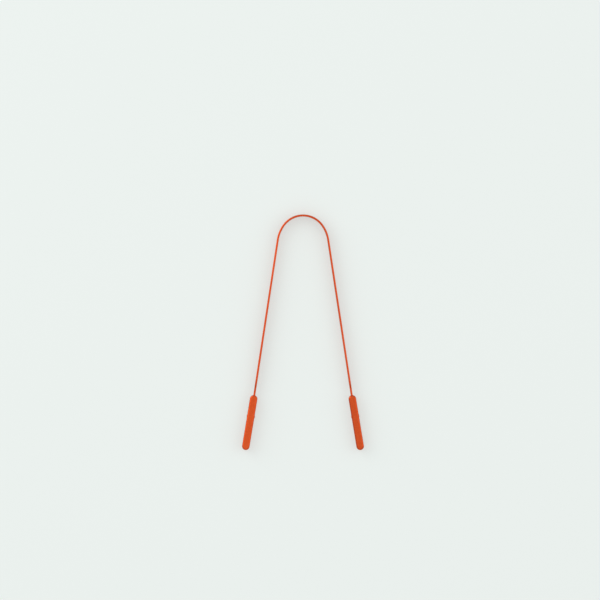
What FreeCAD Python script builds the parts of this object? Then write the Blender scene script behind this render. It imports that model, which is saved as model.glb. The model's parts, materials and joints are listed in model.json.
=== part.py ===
import FreeCAD, Part

import math
import os

from FreeCAD import Vector

# A U-shaped copper tongue scraper, lying flat on its long edges.
# One springy strip stands on edge and bends round a three-centred arch into two splayed arms.
# Each arm draws in at a neck to a tang, and a solid bar handle is pushed over the tang and pinned.
# X runs across the arms, Y from the handles to the arch, and Z along the strip's width.
# The origin is under the middle of the whole scraper, on the surface that it lies on.

# Driving dimensions, in millimetres and degrees
overall_length = 140.0

# Strip: the two radii are those of its middle line
strip_thickness = 1.2
strip_width = 8.0
strip_edge_share = 0.33
crown_radius = 14.1
crown_half_angle = 54.0
shoulder_radius = 20.0
arm_splay = 8.6

# Neck and tang at each end of the strip
neck_length = 8.0
neck_stand_off = 1.0
tang_width = 4.2
flare_angle = 0.8
flare_radius = 40.0

# Handles
handle_length = 33.0
handle_thickness = 4.5
handle_edge_share = 0.2
handle_solid_end = 7.0
mortise_clearance = 0.06
mortise_end_gap = 0.5
mortise_lead_in = 0.3

# Pins that hold the handles on the tangs
pin_diameter = 1.6
pin_end_rise = 0.2
pin_end_chamfer = 0.15
pin_clearance = 0.05
pin_place_share = 0.5

# How far a cutting tool passes the face that it cuts
cut_overrun = 1.0

# Derived sizes
half_thickness = strip_thickness / 2
half_width = strip_width / 2
strip_edge_radius = strip_edge_share * strip_thickness
tang_low = half_width - tang_width / 2
handle_height = strip_width
handle_half = handle_thickness / 2
handle_edge_radius = handle_edge_share * handle_thickness
mortise_depth = handle_length - handle_solid_end
tang_length = mortise_depth - mortise_end_gap
pin_radius = pin_diameter / 2
pin_from_mouth = pin_place_share * tang_length
handle_splay = arm_splay + flare_angle
join_splay = 90 - crown_half_angle

upwards = Vector(0, 0, 1)


def heading(splay):
    """The unit vector down the right side, turned outwards from -Y by the splay in degrees."""
    turn = math.radians(splay)
    return Vector(math.sin(turn), -math.cos(turn), 0)


def outward(splay):
    """The unit vector square to the heading, away from the gap between the arms."""
    turn = math.radians(splay)
    return Vector(math.cos(turn), math.sin(turn), 0)


# Middle line of the right side, from the crown to the end of the tang
crown_centre = Vector(0, overall_length / 2 - half_thickness - crown_radius, 0)
shoulder_centre = crown_centre - outward(join_splay) * (shoulder_radius - crown_radius)
arch_end = shoulder_centre + outward(arm_splay) * shoulder_radius
mouth_y = -overall_length / 2 + handle_half - heading(handle_splay).y * (handle_length - handle_half)
flare_shift = (outward(arm_splay) - outward(handle_splay)) * flare_radius
arm_length = (mouth_y - flare_shift.y - arch_end.y) / heading(arm_splay).y
arm_end = arch_end + heading(arm_splay) * arm_length
flare_centre = arm_end + outward(arm_splay) * flare_radius
mouth = arm_end + flare_shift
tang_end = mouth + heading(handle_splay) * tang_length
neck_end = arm_end - heading(arm_splay) * neck_stand_off
neck_start = neck_end - heading(arm_splay) * neck_length


def line(start, end):
    return Part.LineSegment(start, end).toShape()


def arc_about(centre, radius, first_splay, last_splay):
    """An arc in plan whose points lie outward of its centre; a negative radius puts them inward of it."""
    splays = (first_splay, (first_splay + last_splay) / 2, last_splay)
    return Part.Arc(*[centre + outward(splay) * radius for splay in splays]).toShape()


def across(place, splay):
    """The line square through the strip's thickness at a place on its middle line."""
    half = outward(splay) * half_thickness
    return line(place - half, place + half)


def mirrored(shape):
    """The left-hand twin of a shape on the right side."""
    return shape.mirror(Vector(0, 0, 0), Vector(1, 0, 0))


def face_of(edges):
    return Part.Face(Part.Wire(Part.__sortEdges__(edges)))


def upright_solid(edges, low, height):
    """The solid of this height, standing at this level, whose plan is closed by these edges."""
    face = face_of(edges)
    face.translate(upwards * low)
    return face.extrude(upwards * height)


def make_band():
    """The arch and both arms, at the strip's full width."""
    edges = []
    for offset in (half_thickness, -half_thickness):
        side = outward(arm_splay) * offset
        right_shoulder = arc_about(shoulder_centre, shoulder_radius + offset, join_splay, arm_splay)
        right_arm = line(arch_end + side, neck_start + side)
        edges.append(arc_about(crown_centre, crown_radius + offset, 180 - join_splay, join_splay))
        edges += [right_shoulder, right_arm, mirrored(right_shoulder), mirrored(right_arm)]
    right_cut = across(neck_start, arm_splay)
    return upright_solid(edges + [right_cut, mirrored(right_cut)], 0, strip_width)


def make_neck():
    """The stretch of the right arm that draws in from the strip's width to the tang's."""
    drop = half_width - tang_width / 2
    curve_radius = (neck_length**2 + drop**2) / (4 * drop)
    quarter_turn = math.asin(neck_length / 2 / curve_radius) / 2
    arc_sag = curve_radius * (1 - math.cos(quarter_turn))
    arc_run = curve_radius * math.sin(quarter_turn)

    def at(run, level):
        """A point on the inner face, this far down the neck."""
        return neck_start - outward(arm_splay) * half_thickness + heading(arm_splay) * run + upwards * level

    def drawn_in(start_level, end_level):
        """An S-curve of two equal arcs, tangent to the strip's edge, to each other and to the tang's edge."""
        sag = math.copysign(arc_sag, end_level - start_level)
        middle = at(neck_length / 2, (start_level + end_level) / 2)
        first = Part.Arc(at(0, start_level), at(arc_run, start_level + sag), middle)
        last = Part.Arc(middle, at(neck_length - arc_run, end_level - sag), at(neck_length, end_level))
        return [first.toShape(), last.toShape()]

    tang_high = tang_low + tang_width
    ends = [line(at(0, 0), at(0, strip_width)), line(at(neck_length, tang_low), at(neck_length, tang_high))]
    side = face_of(drawn_in(0, tang_low) + drawn_in(strip_width, tang_high) + ends)
    return side.extrude(outward(arm_splay) * strip_thickness)


def make_tang():
    """The narrow end of the right arm, bent a little outwards where it enters the handle."""
    edges = [across(neck_end, arm_splay), across(tang_end, handle_splay)]
    for offset in (half_thickness, -half_thickness):
        arm_side, handle_side = outward(arm_splay) * offset, outward(handle_splay) * offset
        edges.append(line(neck_end + arm_side, arm_end + arm_side))
        edges.append(arc_about(flare_centre, offset - flare_radius, arm_splay, handle_splay))
        edges.append(line(mouth + handle_side, tang_end + handle_side))
    return upright_solid(edges, tang_low, tang_width)


def long_edges(strip):
    """The edges that run along the strip, and so not its upright seams or the ends of its tangs."""
    found = []
    for edge in strip.Edges:
        halfway = (edge.FirstParameter + edge.LastParameter) / 2
        place = edge.valueAt(halfway)
        from_tang_end = Vector(abs(place.x), place.y, 0) - tang_end
        on_tang_end = from_tang_end.dot(heading(handle_splay)) > -half_thickness
        upright = math.isclose(abs(edge.tangentAt(halfway).z), 1)
        if not on_tang_end and not upright:
            found.append(edge)
    return found


def pin_axis(offset):
    """The point on the right pin's axis that lies this far outward of the tang's middle."""
    place = mouth + heading(handle_splay) * pin_from_mouth + upwards * half_width
    return place + outward(handle_splay) * offset


def make_strip():
    """The whole strip in one piece, with rounded long edges and a pin hole in each tang."""
    right_end = make_neck().fuse(make_tang())
    strip = make_band().multiFuse([right_end, mirrored(right_end)]).removeSplitter()
    strip = strip.makeFillet(strip_edge_radius, long_edges(strip))
    reach = half_thickness + cut_overrun
    hole_radius = pin_radius + pin_clearance
    hole = Part.makeCylinder(hole_radius, 2 * reach, pin_axis(-reach), outward(handle_splay))
    return strip.cut([hole, mirrored(hole)])


def mortise_section(depth, margin):
    """The mortise's outline, square to the right handle at a depth past its mouth, widened by a margin."""
    centre = mouth + heading(handle_splay) * depth + upwards * half_width
    sideways = outward(handle_splay) * (half_thickness + mortise_clearance + margin)
    lengthways = upwards * (tang_width / 2 + mortise_clearance + margin)
    corners = [centre - sideways - lengthways, centre + sideways - lengthways]
    corners += [centre + sideways + lengthways, centre - sideways + lengthways]
    return Part.makePolygon(corners, True)


def make_handle(pin):
    """The right handle: a bar with round ends, a blind mortise for the tang, and a hole the pin fills."""
    along, side = heading(handle_splay), outward(handle_splay) * handle_half
    near = mouth + along * handle_half
    far = mouth + along * (handle_length - handle_half)
    far_tip = mouth + along * handle_length
    near_end = Part.Arc(near - side, mouth, near + side).toShape()
    far_end = Part.Arc(far + side, far_tip, far - side).toShape()
    edges = [near_end, line(near + side, far + side), far_end, line(far - side, near - side)]
    bar = upright_solid(edges, 0, handle_height)
    rims = [edge for edge in bar.Edges if edge.BoundBox.ZLength < handle_half]
    bar = bar.makeFillet(handle_edge_radius, rims)
    mortise = Part.Face(mortise_section(0, 0)).extrude(along * mortise_depth)
    wide = mortise_section(-cut_overrun, mortise_lead_in + cut_overrun)
    lead_in = Part.makeLoft([wide, mortise_section(mortise_lead_in, 0)], True, True)
    return bar.cut([mortise, lead_in, pin])


def make_pin():
    """The right pin: pressed through the handle, with each chamfered end a hair proud of its side."""
    tip = handle_half + pin_end_rise
    pin = Part.makeCylinder(pin_radius, 2 * tip, pin_axis(-tip), outward(handle_splay))
    rims = [edge for edge in pin.Edges if edge.isClosed()]
    return pin.makeChamfer(pin_end_chamfer, rims)


def main():
    pin = make_pin()
    handle = make_handle(pin)
    nodes = {
        "scraper_strip": make_strip(),
        "left_handle": mirrored(handle),
        "right_handle": handle,
        "left_handle_pin": mirrored(pin),
        "right_handle_pin": pin,
    }
    os.makedirs("parts", exist_ok=True)
    for name, shape in nodes.items():
        shape.exportStep("parts/" + name + ".step")
        print(f"{name}: {len(shape.Solids)} solid, valid {shape.isValid()}, {shape.Volume:.1f} mm3")


main()
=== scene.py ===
import json
import math

import bmesh
import bpy
from mathutils import Color, Matrix, Vector


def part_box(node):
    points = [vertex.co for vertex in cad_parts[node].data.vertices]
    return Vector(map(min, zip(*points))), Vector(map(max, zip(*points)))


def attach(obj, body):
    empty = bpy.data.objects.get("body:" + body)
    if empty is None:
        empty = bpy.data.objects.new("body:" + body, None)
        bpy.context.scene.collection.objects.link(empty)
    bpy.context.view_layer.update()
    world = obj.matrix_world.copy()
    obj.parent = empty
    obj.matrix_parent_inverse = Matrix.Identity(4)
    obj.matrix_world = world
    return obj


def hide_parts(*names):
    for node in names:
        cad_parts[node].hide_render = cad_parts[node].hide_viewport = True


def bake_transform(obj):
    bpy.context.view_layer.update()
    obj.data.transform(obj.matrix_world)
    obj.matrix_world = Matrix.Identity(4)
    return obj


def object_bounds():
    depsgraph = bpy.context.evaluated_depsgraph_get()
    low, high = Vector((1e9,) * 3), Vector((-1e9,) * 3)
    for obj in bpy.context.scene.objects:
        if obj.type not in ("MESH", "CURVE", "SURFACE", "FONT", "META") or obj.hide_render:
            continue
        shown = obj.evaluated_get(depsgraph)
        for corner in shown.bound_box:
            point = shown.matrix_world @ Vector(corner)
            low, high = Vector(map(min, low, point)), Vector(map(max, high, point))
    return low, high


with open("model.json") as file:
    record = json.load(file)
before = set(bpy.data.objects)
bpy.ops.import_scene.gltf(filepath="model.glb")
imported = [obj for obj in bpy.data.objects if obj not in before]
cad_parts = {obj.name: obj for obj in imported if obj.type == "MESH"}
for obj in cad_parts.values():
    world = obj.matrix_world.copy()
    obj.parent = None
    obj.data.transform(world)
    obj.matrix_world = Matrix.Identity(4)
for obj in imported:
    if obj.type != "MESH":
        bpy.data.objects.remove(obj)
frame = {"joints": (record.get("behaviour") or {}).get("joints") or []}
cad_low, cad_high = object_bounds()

# A copper tongue scraper: a springy strip on edge, bent into a U, with a pinned bar handle on each end.
# The right side is modelled, and the left side is its mirror image.
# Lengths are in metres and angles in radians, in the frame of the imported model.

MM = 0.001
UP = Vector((0, 0, 1))
QUARTER_TURN = math.radians(90)

# Strip
strip_thickness = 1.2 * MM
strip_edge_radius = 0.4 * MM
crown_half_angle = math.radians(54)
shoulder_radius = 20 * MM
arm_splay = math.radians(8.6)
neck_length = 8 * MM
neck_stand_off = 1 * MM
tang_width = 4.2 * MM
tang_length = 25.5 * MM
flare_radius = 40 * MM

# Handles and their pins
handle_thickness = 4.5 * MM
handle_edge_radius = 0.9 * MM
mortise_clearance = 0.06 * MM
mortise_lead_in = 0.3 * MM
mortise_end_gap = 0.5 * MM
pin_end_round = 0.18 * MM
pin_seam = 0.03 * MM
pin_hole_chamfer = 0.14 * MM
cut_overrun = 1 * MM

# How finely the round stretches are divided, which points are merged and which edges stay sharp
crown_steps = 48
shoulder_steps = 28
neck_steps = 16
flare_steps = 2
edge_segments = 6
end_steps = 36
rim_segments = 10
pin_sides = 64
merge_distance = 0.0001 * MM
sharp_angle = math.radians(35)

# The strip's attribute that holds each point's place along it, across it and up it
unbent_name = "unbent"

# Marks on the copper, by how many there are to a metre along, across and up the piece
hair_marks = (70, 9000, 9000)
streak_marks = (40, 1800, 1800)
grain_marks = (4200, 4200, 4200)
speckle_marks = (1300, 1300, 1300)
drift_marks = (60, 60, 60)
scratch_marks = (90, 12000, 12000)
scratch_slant = math.radians(22)

# Depths of the scratches, the hairlines and the grain
scratch_depth = 0.01 * MM
strip_hair_depth = 0.013 * MM
strip_grain_depth = 0.004 * MM
handle_hair_depth = 0.008 * MM
handle_grain_depth = 0.02 * MM
pin_hair_depth = 0.01 * MM
pin_grain_depth = 0.004 * MM

# Copper tones as display values up to a full level, and the share of that light each piece throws back; the
# right handle's smaller share is painted shade, a darker copy of the left handle's copper
full_level = 255
copper_shades = {
    "deep": (203, 78, 37),
    "plain": (218, 91, 47),
    "rubbed": (238, 92, 42),
    "stained": (146, 58, 32),
}
strip_share = 0.98
left_handle_share = 1.0
# Painted shade: the right handle and its pin are made darker than the left, as if less light fell on them
right_handle_painted_shade_share = 0.9

# How the marks mix into the tone, and the stretches of noise that the finish uses
hair_tone_share = 0.4
speckle_tone_share = 0.3
drift_tone_share = 0.3
tone_low = 0.38
tone_high = 0.62
noise_low = 0.3
noise_high = 0.7
scratch_low = 0.64
scratch_high = 0.72
scratch_shine_share = 0.5
least_rubbing = 0.5
smoothest = 0.13
roughest = 0.24
rubbed_smoother = 0.05
mouth_stain_inner = 0.8 * MM
mouth_stain_outer = 3.2 * MM
mouth_stain_share = 0.6
pin_stain_share = 0.5

# Floor, sky and lamps; a sky stop is the height of a direction and its brightness
floor_shade = (236, 242, 239)
floor_reach = 6.0
floor_drop = 0.02 * MM
floor_glow_share = 0.58
floor_roughness = 0.9
floor_sheen = 0.1
sky_stops = ((0.0, 0.82), (0.05, 0.8), (0.09, 0.3), (0.3, 0.3), (0.5, 0.55), (0.7, 0.85), (0.9, 1.0))
lamp_size = 1.3
key_place = Vector((-0.92, 0.58, 0.8))
key_power = 5.3
fill_place = Vector((1.1, 0.15, 0.9))
fill_power = 2.9

# Camera, and where the photograph has the scraper, in pixels
camera_lens = 400
camera_sensor = 36
photo_side = 600
photo_middle_x = 303.0
photo_top_y = 214.4
photo_bottom_y = 450.1

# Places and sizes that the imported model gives; both of its hinges stand at the crown's centre
crown_centre = Vector(frame["joints"][0]["pos_m"])
strip_low, strip_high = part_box("scraper_strip")
handle_low, handle_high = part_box("right_handle")
pin_low, pin_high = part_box("right_handle_pin")
strip_width = strip_high.z - strip_low.z
handle_height = handle_high.z - handle_low.z
pin_radius = (pin_high.z - pin_low.z) / 2
middle_level = crown_centre.z

# Derived sizes
half_thickness = strip_thickness / 2
handle_half = handle_thickness / 2
crown_radius = strip_high.y - half_thickness - crown_centre.y
crown_splay = QUARTER_TURN
join_splay = crown_splay - crown_half_angle
near_end = Vector((handle_low.x + handle_half, handle_high.y - handle_half, middle_level))
far_end = Vector((handle_high.x - handle_half, handle_low.y + handle_half, middle_level))
handle_line = far_end - near_end
handle_splay = math.atan2(handle_line.x, -handle_line.y)
handle_length = handle_line.length + handle_thickness
mortise_depth = tang_length + mortise_end_gap
pin_reach = pin_high.x - pin_low.x - 2 * pin_radius * math.sin(handle_splay)
pin_length = pin_reach / math.cos(handle_splay)
pin_stain_outer = 2 * pin_radius


def heading(splay):
    """The unit vector down the right side, turned outwards from -Y by the splay."""
    return Vector((math.sin(splay), -math.cos(splay), 0))


def outward(splay):
    """The unit vector square to the heading, away from the gap between the arms."""
    return Vector((math.cos(splay), math.sin(splay), 0))


def space_at(place, splay):
    """The space with its X down the right side, its Y outward, its Z up and its origin at a place."""
    axes = Matrix((heading(splay), outward(splay), UP)).transposed()
    return Matrix.Translation(place) @ axes.to_4x4()


# Middle line of the right side, at half the strip's width
crown_top = crown_centre + outward(crown_splay) * crown_radius
crown_end = crown_centre + outward(join_splay) * crown_radius
shoulder_centre = crown_end - outward(join_splay) * shoulder_radius
arch_end = shoulder_centre + outward(arm_splay) * shoulder_radius
mouth = near_end - heading(handle_splay) * handle_half
arm_end = mouth - (outward(arm_splay) - outward(handle_splay)) * flare_radius
flare_centre = arm_end + outward(arm_splay) * flare_radius
neck_start = arm_end - heading(arm_splay) * (neck_stand_off + neck_length)

handle_space = space_at(mouth, handle_splay)
pin_place = handle_space.inverted() @ ((pin_low + pin_high) / 2)


# Shaping with bmesh operators

def only(kind, geometry):
    """The items of one kind among those that an operator gives back."""
    return [item for item in geometry if isinstance(item, kind)]


def section(bm, across, upward, corner=0.0):
    """A rectangle in the YZ plane about the origin, with round corners if they are given a radius."""
    facing_x = Matrix(((0, 0, 1, 0), (across, 0, 0, 0), (0, upward, 0, 0), (0, 0, 0, 1)))
    corners = bmesh.ops.create_grid(bm, x_segments=1, y_segments=1, size=0.5, matrix=facing_x)["verts"]
    if corner:
        bmesh.ops.bevel(
            bm, geom=corners, offset=corner, offset_type="OFFSET", affect="VERTICES",
            segments=edge_segments, profile=0.5, material=-1,
        )
    [face] = bm.faces
    return face


def is_joined(face):
    """Whether a face has others beside it, so that going on from it would leave it inside."""
    return any(len(edge.link_faces) > 1 for edge in face.edges)


def push(bm, face, step):
    """Extrudes a face by a step and returns the face at the new end; a lone first face stays as a cap."""
    inner = [face] if is_joined(face) else []
    made = bmesh.ops.extrude_face_region(bm, geom=[face])["geom"]
    bmesh.ops.translate(bm, vec=step, verts=only(bmesh.types.BMVert, made))
    bmesh.ops.delete(bm, geom=inner, context="FACES_ONLY")
    return only(bmesh.types.BMFace, made)[0]


def swing(bm, face, centre, turn, steps):
    """Spins a face about an upright axis and returns the face at the new end; a lone first face stays."""
    inner = [face] if is_joined(face) else []
    made = bmesh.ops.spin(bm, geom=[face], cent=centre, axis=UP, angle=turn, steps=steps)["geom_last"]
    bmesh.ops.delete(bm, geom=inner, context="FACES_ONLY")
    return only(bmesh.types.BMFace, made)[0]


def loose_object(bm):
    """An object of a bmesh, to be used by a modifier and removed again."""
    mesh = bpy.data.meshes.new("loose")
    bm.to_mesh(mesh)
    bm.free()
    loose = bpy.data.objects.new("loose", mesh)
    bpy.context.scene.collection.objects.link(loose)
    return loose


def cut(body, tool):
    """Takes the tool's shape out of the body's and returns what is left."""
    for bm in (body, tool):
        bmesh.ops.recalc_face_normals(bm, faces=bm.faces)
    body_object, tool_object = loose_object(body), loose_object(tool)
    boolean = body_object.modifiers.new("cut", "BOOLEAN")
    boolean.object = tool_object
    boolean.operation = "DIFFERENCE"
    boolean.solver = "EXACT"
    left = bmesh.new()
    left.from_object(body_object, bpy.context.evaluated_depsgraph_get())
    for used in (body_object, tool_object):
        mesh = used.data
        bpy.data.objects.remove(used)
        bpy.data.meshes.remove(mesh)
    return left


def finished_piece(name, bm, mirrored, material):
    """Makes a bmesh of the right side into a smooth object, on the left if it is mirrored."""
    if mirrored:
        bmesh.ops.scale(bm, vec=(-1, 1, 1), verts=bm.verts)
    bmesh.ops.remove_doubles(bm, verts=bm.verts, dist=merge_distance)
    bmesh.ops.recalc_face_normals(bm, faces=bm.faces)
    mesh = bpy.data.meshes.new(name)
    bm.to_mesh(mesh)
    bm.free()
    mesh.shade_smooth()
    mesh.set_sharp_from_angle(angle=sharp_angle)
    mesh.materials.append(material)
    piece = bpy.data.objects.new(name, mesh)
    bpy.context.scene.collection.objects.link(piece)
    normals = piece.modifiers.new("even_normals", "WEIGHTED_NORMAL")
    normals.keep_sharp = True
    return piece


# Pieces of the right side

def neck_drop(run):
    """How far each edge of the strip has drawn in, this far down the neck: two equal arcs make an S."""
    drop = (strip_width - tang_width) / 2
    curve_radius = (neck_length**2 + drop**2) / (4 * drop)
    if run <= neck_length / 2:
        return curve_radius - math.sqrt(curve_radius**2 - run**2)
    return drop - neck_drop(neck_length - run)


def unbend(place):
    """Where a point of the right half lies along, across and up the strip, as if it were straightened."""
    from_crown = place - crown_centre
    turn = math.atan2(from_crown.x, from_crown.y)
    if turn <= crown_half_angle:
        return Vector((crown_radius * turn, from_crown.xy.length - crown_radius, place.z))
    crown_run = crown_radius * crown_half_angle
    from_shoulder = place - shoulder_centre
    splay = math.atan2(from_shoulder.y, from_shoulder.x)
    if splay >= arm_splay:
        run = crown_run + shoulder_radius * (join_splay - splay)
        return Vector((run, from_shoulder.xy.length - shoulder_radius, place.z))
    arch_run = crown_run + shoulder_radius * (join_splay - arm_splay)
    from_arch = place - arch_end
    return Vector((arch_run + from_arch.dot(heading(arm_splay)), from_arch.dot(outward(arm_splay)), place.z))


def strip_half(side_signs):
    """Half of the strip, from the crown down the arm and the neck to the end of the tang."""
    bm = bmesh.new()
    end = section(bm, strip_thickness, strip_width, strip_edge_radius)
    bmesh.ops.transform(bm, matrix=space_at(crown_top, crown_splay), verts=bm.verts)
    end = swing(bm, end, crown_centre, -crown_half_angle, crown_steps)
    end = swing(bm, end, shoulder_centre, arm_splay - join_splay, shoulder_steps)
    end = push(bm, end, neck_start - arch_end)
    for step in range(neck_steps):
        run = neck_length * step / neck_steps
        next_run = neck_length * (step + 1) / neck_steps
        end = push(bm, end, heading(arm_splay) * (next_run - run))
        drawn_in = UP * (neck_drop(next_run) - neck_drop(run))
        bmesh.ops.translate(bm, vec=-drawn_in, verts=[v for v in end.verts if v.co.z > middle_level])
        bmesh.ops.translate(bm, vec=drawn_in, verts=[v for v in end.verts if v.co.z < middle_level])
    end = push(bm, end, heading(arm_splay) * neck_stand_off)
    end = swing(bm, end, flare_centre, handle_splay - arm_splay, flare_steps)
    push(bm, end, heading(handle_splay) * tang_length)
    bm = cut(bm, pin_tool(strip_thickness, 0.0))
    unbent = bm.verts.layers.float_vector.new(unbent_name)
    for vert in bm.verts:
        vert[unbent] = unbend(vert.co) * side_signs
    return bm


def handle_bar():
    """A bar with round ends and rounded rims, in the handle's own space."""
    bm = bmesh.new()
    far_x = handle_length - handle_half
    first = bm.verts.new((handle_half, -handle_half, -handle_height / 2))
    near_round = bmesh.ops.spin(
        bm, geom=[first], cent=(handle_half, 0, 0), axis=UP, angle=-math.pi, steps=end_steps,
    )
    corner = only(bmesh.types.BMVert, near_round["geom_last"])
    side = bmesh.ops.extrude_vert_indiv(bm, verts=corner)["verts"]
    bmesh.ops.translate(bm, vec=(far_x - handle_half, 0, 0), verts=side)
    far_round = bmesh.ops.spin(bm, geom=side, cent=(far_x, 0, 0), axis=UP, angle=-math.pi, steps=end_steps)
    last = only(bmesh.types.BMVert, far_round["geom_last"])
    bmesh.ops.contextual_create(bm, geom=[*last, first])
    bottom = bmesh.ops.contextual_create(bm, geom=bm.edges[:])["faces"][0]
    push(bm, bottom, UP * handle_height)
    bmesh.ops.recalc_face_normals(bm, faces=bm.faces)
    rims = [edge for edge in bm.edges if abs(edge.verts[0].co.z - edge.verts[1].co.z) < merge_distance]
    bmesh.ops.bevel(
        bm, geom=rims, offset=handle_edge_radius, offset_type="OFFSET", affect="EDGES",
        segments=rim_segments, profile=0.5, material=-1,
    )
    bmesh.ops.transform(bm, matrix=handle_space, verts=bm.verts)
    return bm


def mortise_tool():
    """The slot that takes the tang, with a flared lip at the handle's mouth."""
    bm = bmesh.new()
    across = strip_thickness + 2 * mortise_clearance
    upward = tang_width + 2 * mortise_clearance
    flare = mortise_lead_in + cut_overrun
    end = section(bm, across, upward)
    bmesh.ops.translate(bm, vec=(mortise_depth, 0, 0), verts=bm.verts)
    end = push(bm, end, Vector((mortise_lead_in - mortise_depth, 0, 0)))
    end = push(bm, end, Vector((-flare, 0, 0)))
    lip = (1, 1 + 2 * flare / across, 1 + 2 * flare / upward)
    bmesh.ops.scale(bm, vec=lip, verts=end.verts)
    bmesh.ops.transform(bm, matrix=handle_space, verts=bm.verts)
    return bm


def pin_bar(radius, length):
    """A plain round bar along the pin's axis, in the handle's own space, with its two end faces."""
    bm = bmesh.new()
    along_y = Matrix.Translation(pin_place) @ Matrix.Rotation(QUARTER_TURN, 4, "X")
    bmesh.ops.create_cone(
        bm, cap_ends=True, segments=pin_sides, radius1=radius, radius2=radius, depth=length, matrix=along_y,
    )
    return bm, [face for face in bm.faces if len(face.verts) == pin_sides]


def pin_tool(thickness, chamfer):
    """The hole for the pin through a wall of this thickness, with a chamfer on both of its faces."""
    radius = pin_radius + pin_seam
    bm, ends = pin_bar(radius, thickness - 2 * chamfer)
    reach = chamfer + cut_overrun
    for end in ends:
        outer = push(bm, end, end.normal * reach)
        widened = 1 + reach / radius if chamfer else 1
        about_axis = Matrix.Translation(-pin_place)
        bmesh.ops.scale(bm, vec=(widened, 1, widened), verts=outer.verts, space=about_axis)
    bmesh.ops.transform(bm, matrix=handle_space, verts=bm.verts)
    return bm


def handle_shape():
    """The bar with its mortise and its pin hole."""
    drilled = cut(handle_bar(), pin_tool(handle_thickness, pin_hole_chamfer))
    return cut(drilled, mortise_tool())


def pin_shape():
    """The pin, with rounded ends a hair proud of the handle's sides."""
    bm, ends = pin_bar(pin_radius, pin_length)
    rims = list({edge for end in ends for edge in end.edges})
    bmesh.ops.bevel(
        bm, geom=rims, offset=pin_end_round, offset_type="OFFSET", affect="EDGES",
        segments=edge_segments, profile=0.5, material=-1,
    )
    bmesh.ops.transform(bm, matrix=handle_space, verts=bm.verts)
    return bm


# Materials

def display_colour(shade, share=1.0):
    """The linear colour of a shade in display values, at a share of the light that it throws back."""
    linear = (Color(shade) / full_level).from_srgb_to_scene_linear()
    return (*(linear * share), 1.0)


def add_node(tree, kind, inputs=None, **settings):
    """Adds a node; an input takes a value, or is linked to another node's output."""
    node = tree.nodes.new("ShaderNode" + kind)
    for name, value in settings.items():
        setattr(node, name, value)
    for name, value in (inputs or {}).items():
        if isinstance(value, bpy.types.NodeSocket):
            tree.links.new(value, node.inputs[name])
        else:
            node.inputs[name].default_value = value
    return node


def new_material(name):
    """A material with no nodes yet, and its tree."""
    material = bpy.data.materials.new(name)
    material.use_nodes = True
    material.node_tree.nodes.clear()
    return material, material.node_tree


def calculate(tree, operation, *values):
    """The output of a Math node on numbers or other outputs."""
    return add_node(tree, "Math", dict(enumerate(values)), operation=operation).outputs[0]


def noise(tree, vector, marks):
    """Noise about 0.5, with this many marks to a metre along each axis."""
    stretched = add_node(tree, "Mapping", {"Vector": vector, "Scale": marks}).outputs[0]
    return add_node(tree, "TexNoise", {"Vector": stretched, "Scale": 1.0}).outputs["Fac"]


def fade(tree, value, start, end, first, last):
    """A value carried smoothly from the range start to end to the range first to last."""
    ends = {"Value": value, "From Min": start, "From Max": end, "To Min": first, "To Max": last}
    return add_node(tree, "MapRange", ends, interpolation_type="SMOOTHSTEP").outputs["Result"]


def mix(tree, share, first, second):
    return add_node(tree, "MixRGB", {"Fac": share, "Color1": first, "Color2": second}).outputs["Color"]


def levelness(tree):
    """1 where a surface is level and 0 where it is upright."""
    normal = add_node(tree, "NewGeometry").outputs["Normal"]
    rise = add_node(tree, "SeparateXYZ", {"Vector": normal}).outputs["Z"]
    return calculate(tree, "MULTIPLY", rise, rise)


def rounded_edge(tree, level):
    """1 where a surface slopes at 45 degrees, as on a rounded edge, and 0 where it is level or upright."""
    halfway = 0.5
    from_slope = calculate(tree, "ABSOLUTE", calculate(tree, "SUBTRACT", level, halfway))
    return fade(tree, from_slope, 0.0, halfway, 1.0, 0.0)


def fine_scratches(tree, along, level):
    """Thin scratches, at a slant to the hairlines on the sides and on the top alike."""
    upright = calculate(tree, "SUBTRACT", 1.0, level)
    facing = add_node(tree, "CombineXYZ", {"Y": upright, "Z": level}).outputs[0]
    slanted = add_node(tree, "VectorRotate", {"Vector": along, "Axis": facing, "Angle": scratch_slant})
    lines = noise(tree, slanted.outputs[0], scratch_marks)
    return fade(tree, lines, scratch_low, scratch_high, 0.0, 1.0)


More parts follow.
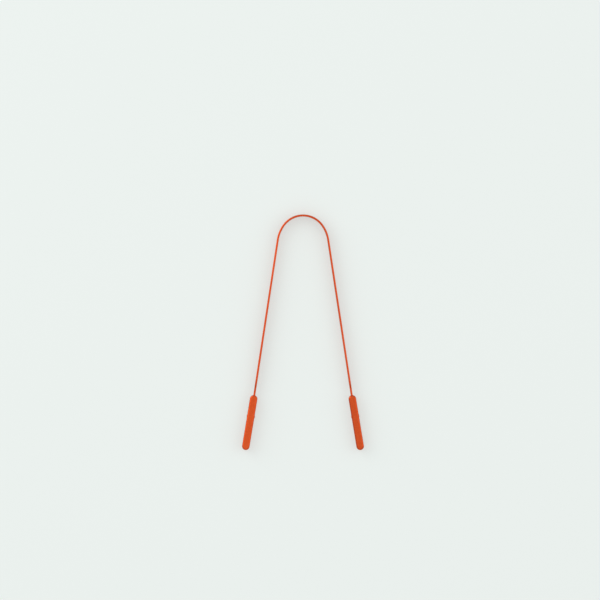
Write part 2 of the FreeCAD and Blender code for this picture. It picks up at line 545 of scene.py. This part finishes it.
def copper(name, own_space, share, hair_depth, grain_depth, stain=None):
    """Satin copper with hairlines along the X of the piece's own space, and a fine grain all over."""
    material, tree = new_material(name)
    # The share scales every tone; for the right handle and its pin it is painted shade
    tones = {tone_name: display_colour(shade, share) for tone_name, shade in copper_shades.items()}
    place = add_node(tree, "TexCoord").outputs["Object"]
    along = own_space(tree)
    hairs = noise(tree, along, hair_marks)
    streaks = noise(tree, along, streak_marks)
    grain = noise(tree, place, grain_marks)
    speckle = noise(tree, place, speckle_marks)
    drift = noise(tree, place, drift_marks)
    level = levelness(tree)
    scratches = fine_scratches(tree, along, level)

    tone = calculate(tree, "MULTIPLY", drift, drift_tone_share)
    tone = calculate(tree, "MULTIPLY_ADD", hairs, hair_tone_share, tone)
    tone = calculate(tree, "MULTIPLY_ADD", speckle, speckle_tone_share, tone)
    colour = mix(tree, fade(tree, tone, tone_low, tone_high, 0.0, 1.0), tones["deep"], tones["plain"])
    rubbing = fade(tree, speckle, noise_low, noise_high, least_rubbing, 1.0)
    worn = calculate(tree, "MULTIPLY", rounded_edge(tree, level), rubbing)
    worn = calculate(tree, "MAXIMUM", worn, calculate(tree, "MULTIPLY", scratches, scratch_shine_share))
    colour = mix(tree, worn, colour, tones["rubbed"])
    if stain:
        colour = mix(tree, stain(tree, along), colour, tones["stained"])

    satin = fade(tree, streaks, noise_low, noise_high, smoothest, roughest)
    rough = calculate(tree, "MULTIPLY_ADD", worn, -rubbed_smoother, satin)
    lines = calculate(tree, "ADD", hairs, streaks)
    height = calculate(tree, "MULTIPLY_ADD", grain, grain_depth / hair_depth, lines)
    height = calculate(tree, "MULTIPLY_ADD", scratches, -scratch_depth / hair_depth, height)
    bump = add_node(tree, "Bump", {"Height": height, "Strength": 1.0, "Distance": hair_depth})
    surface = add_node(tree, "BsdfPrincipled", {
        "Base Color": colour, "Metallic": 1.0, "Roughness": rough, "Normal": bump.outputs["Normal"],
    })
    add_node(tree, "OutputMaterial", {"Surface": surface.outputs["BSDF"]})
    return material


def along_strip(tree):
    """The strip's own space, as if it were straightened."""
    return add_node(tree, "Attribute", attribute_name=unbent_name).outputs["Vector"]


def along_handle(mirrored):
    """The handle's own space, from its mouth, on either side."""
    turn = -handle_splay if mirrored else handle_splay
    origin = Vector((-mouth.x if mirrored else mouth.x, mouth.y, mouth.z))

    def own_space(tree):
        place = add_node(tree, "TexCoord").outputs["Object"]
        own = {"Vector": place, "Location": origin, "Rotation": (0, 0, turn - QUARTER_TURN)}
        return add_node(tree, "Mapping", own, vector_type="TEXTURE").outputs[0]

    return own_space


def from_pin(tree, handle_place):
    """How far a place in the handle's own space is from the pin's axis."""
    flat = {"Vector": handle_place, "Location": (-pin_place.x, 0, 0), "Scale": (1, 0, 1)}
    across = add_node(tree, "Mapping", flat).outputs[0]
    return add_node(tree, "VectorMath", {0: across}, operation="LENGTH").outputs["Value"]


def around_pin(mirrored):
    """A space whose Y grows out from the pin's axis, so that its marks run round the pin."""
    in_handle = along_handle(mirrored)

    def own_space(tree):
        return add_node(tree, "CombineXYZ", {"Y": from_pin(tree, in_handle(tree))}).outputs[0]

    return own_space


def handle_stain(tree, handle_place):
    """Tarnish round the tang's mouth and round the pin."""
    from_mouth = add_node(tree, "VectorMath", {0: handle_place}, operation="LENGTH").outputs["Value"]
    at_mouth = fade(tree, from_mouth, mouth_stain_inner, mouth_stain_outer, mouth_stain_share, 0.0)
    at_pin = fade(tree, from_pin(tree, handle_place), pin_radius, pin_stain_outer, pin_stain_share, 0.0)
    return calculate(tree, "MAXIMUM", at_mouth, at_pin)


def pale_floor():
    """The floor's surface, which glows a little to the camera and in reflections, so that it stays pale."""
    material, tree = new_material("pale_floor")
    colour = display_colour(floor_shade)
    surface = add_node(tree, "BsdfPrincipled", {
        "Base Color": colour, "Roughness": floor_roughness, "Specular IOR Level": floor_sheen,
    })
    glow = add_node(tree, "Emission", {"Color": colour, "Strength": 1.0})
    path = add_node(tree, "LightPath").outputs
    seen = calculate(tree, "ADD", path["Is Camera Ray"], path["Is Glossy Ray"])
    seen = calculate(tree, "ADD", seen, path["Is Transmission Ray"])
    glow_share = calculate(tree, "MULTIPLY", seen, floor_glow_share)
    mixed = add_node(tree, "MixShader", {0: glow_share, 1: surface.outputs[0], 2: glow.outputs[0]})
    add_node(tree, "OutputMaterial", {"Surface": mixed.outputs[0]})
    return material


# Stage, light and camera

def lay_floor():
    bm = bmesh.new()
    bmesh.ops.create_grid(bm, x_segments=1, y_segments=1, size=floor_reach)
    bmesh.ops.translate(bm, vec=-UP * floor_drop, verts=bm.verts)
    mesh = bpy.data.meshes.new("floor")
    bm.to_mesh(mesh)
    bm.free()
    mesh.materials.append(pale_floor())
    floor = bpy.data.objects.new("floor", mesh)
    bpy.context.scene.collection.objects.link(floor)


def light_world():
    """A pale sky, brightest overhead, with a dim band above the horizon for the metal to show."""
    world = bpy.data.worlds.new("studio")
    world.use_nodes = True
    tree = world.node_tree
    tree.nodes.clear()
    direction = add_node(tree, "TexCoord").outputs["Generated"]
    level = add_node(tree, "SeparateXYZ", {"Vector": direction}).outputs["Z"]
    dome = add_node(tree, "ValToRGB", {"Fac": level})
    ramp = dome.color_ramp.elements
    for _ in sky_stops[len(ramp):]:
        ramp.new(1.0)
    for stop, (position, brightness) in zip(ramp, sky_stops):
        stop.position = position
        stop.color = (brightness, brightness, brightness, 1.0)
    sky = add_node(tree, "Background", {"Color": dome.outputs["Color"], "Strength": 1.0})
    add_node(tree, "OutputWorld", {"Surface": sky.outputs[0]})
    bpy.context.scene.world = world


def hang_lamp(name, place, power):
    lamp = bpy.data.lights.new(name, "AREA")
    lamp.shape = "DISK"
    lamp.size = lamp_size
    lamp.energy = power
    hung = bpy.data.objects.new(name, lamp)
    hung.location = place
    hung.rotation_euler = (-place).to_track_quat("-Z", "Y").to_euler()
    hung.visible_camera = False
    bpy.context.scene.collection.objects.link(hung)


def set_camera():
    """Looks straight down, so that the scraper lies in the frame where the photograph has it."""
    per_pixel = (cad_high.y - cad_low.y) / (photo_bottom_y - photo_top_y)
    photo_middle_y = (photo_top_y + photo_bottom_y) / 2
    camera_data = bpy.data.cameras.new("camera")
    camera_data.lens = camera_lens
    camera_data.sensor_width = camera_sensor
    camera = bpy.data.objects.new("camera", camera_data)
    camera.location = (
        (photo_side / 2 - photo_middle_x) * per_pixel,
        (photo_middle_y - photo_side / 2) * per_pixel,
        cad_high.z + per_pixel * photo_side * camera_lens / camera_sensor,
    )
    bpy.context.scene.collection.objects.link(camera)
    bpy.context.scene.camera = camera


# The whole scraper

def add_side(side, mirrored, handle_painted_shade_share, strip_copper):
    """Half of the strip, a handle and its pin, on the grip that carries them."""
    grip = side + "_grip"
    side_signs = Vector((-1 if mirrored else 1, 1, 1))
    half = finished_piece(side + "_strip_half", strip_half(side_signs), mirrored, strip_copper)
    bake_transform(half)
    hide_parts("scraper_strip")

    # The handle share darkens the right handle and its pin as painted shade
    handle_copper = copper(
        side + "_handle_copper", along_handle(mirrored), handle_painted_shade_share,
        handle_hair_depth, handle_grain_depth, handle_stain,
    )
    handle = finished_piece(side + "_handle_bar", handle_shape(), mirrored, handle_copper)
    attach(handle, grip)
    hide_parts(side + "_handle")

    pin_copper = copper(
        side + "_pin_copper", around_pin(mirrored), handle_painted_shade_share, pin_hair_depth, pin_grain_depth,
    )
    pin = finished_piece(side + "_pin", pin_shape(), mirrored, pin_copper)
    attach(pin, grip)
    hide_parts(side + "_handle_pin")


def main():
    strip_copper = copper("strip_copper", along_strip, strip_share, strip_hair_depth, strip_grain_depth)
    add_side("left", True, left_handle_share, strip_copper)
    add_side("right", False, right_handle_painted_shade_share, strip_copper)
    lay_floor()
    light_world()
    hang_lamp("key_lamp", key_place, key_power)
    hang_lamp("fill_lamp", fill_place, fill_power)
    set_camera()
    bpy.context.scene.view_settings.view_transform = "Standard"


main()
